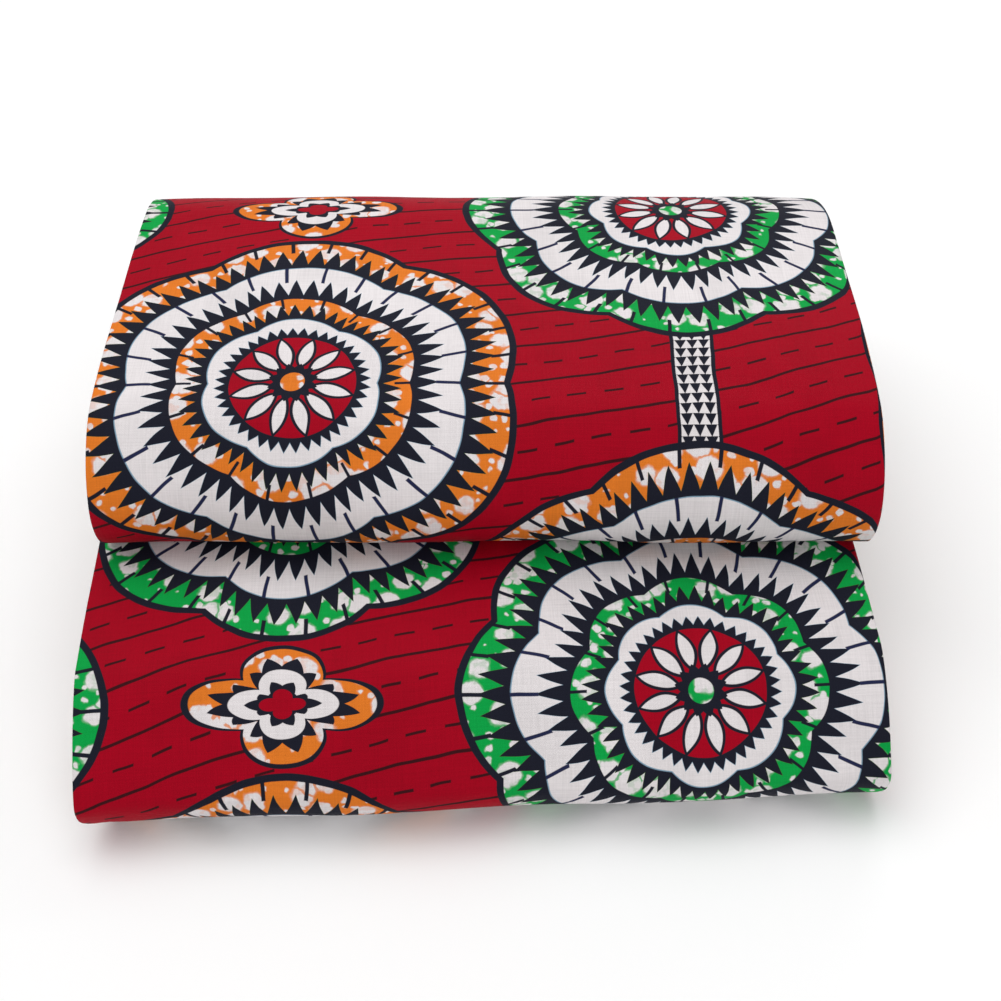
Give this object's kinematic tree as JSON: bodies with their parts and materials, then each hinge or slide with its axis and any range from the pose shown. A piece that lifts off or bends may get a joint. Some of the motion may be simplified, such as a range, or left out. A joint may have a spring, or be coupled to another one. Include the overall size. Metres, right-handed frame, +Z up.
{
  "type": "folded wax print fabric",
  "caption": "Length of printed cotton cloth, folded in four, rolled flat and turned over into a stepped pad that rests on a shelf or table.",
  "frame": {"origin": "middle of the bounding rectangle of the pad's underside, on the surface that it rests on", "axes": "+X along the folds to the right, +Y from the stepped front to the turn at the back, +Z up"},
  "size_m": [0.3018, 0.2946, 0.1171],
  "materials": {
    "printed_cotton": "printed plain-weave cotton with a light starch sheen, crimson ground with bands of white, green, orange and dark blue"
  },
  "bodies": {
    "root": {"lower_outer_ply": "printed_cotton", "upper_outer_ply": "printed_cotton", "inner_layers": "printed_cotton"}
  },
  "joints": []
}
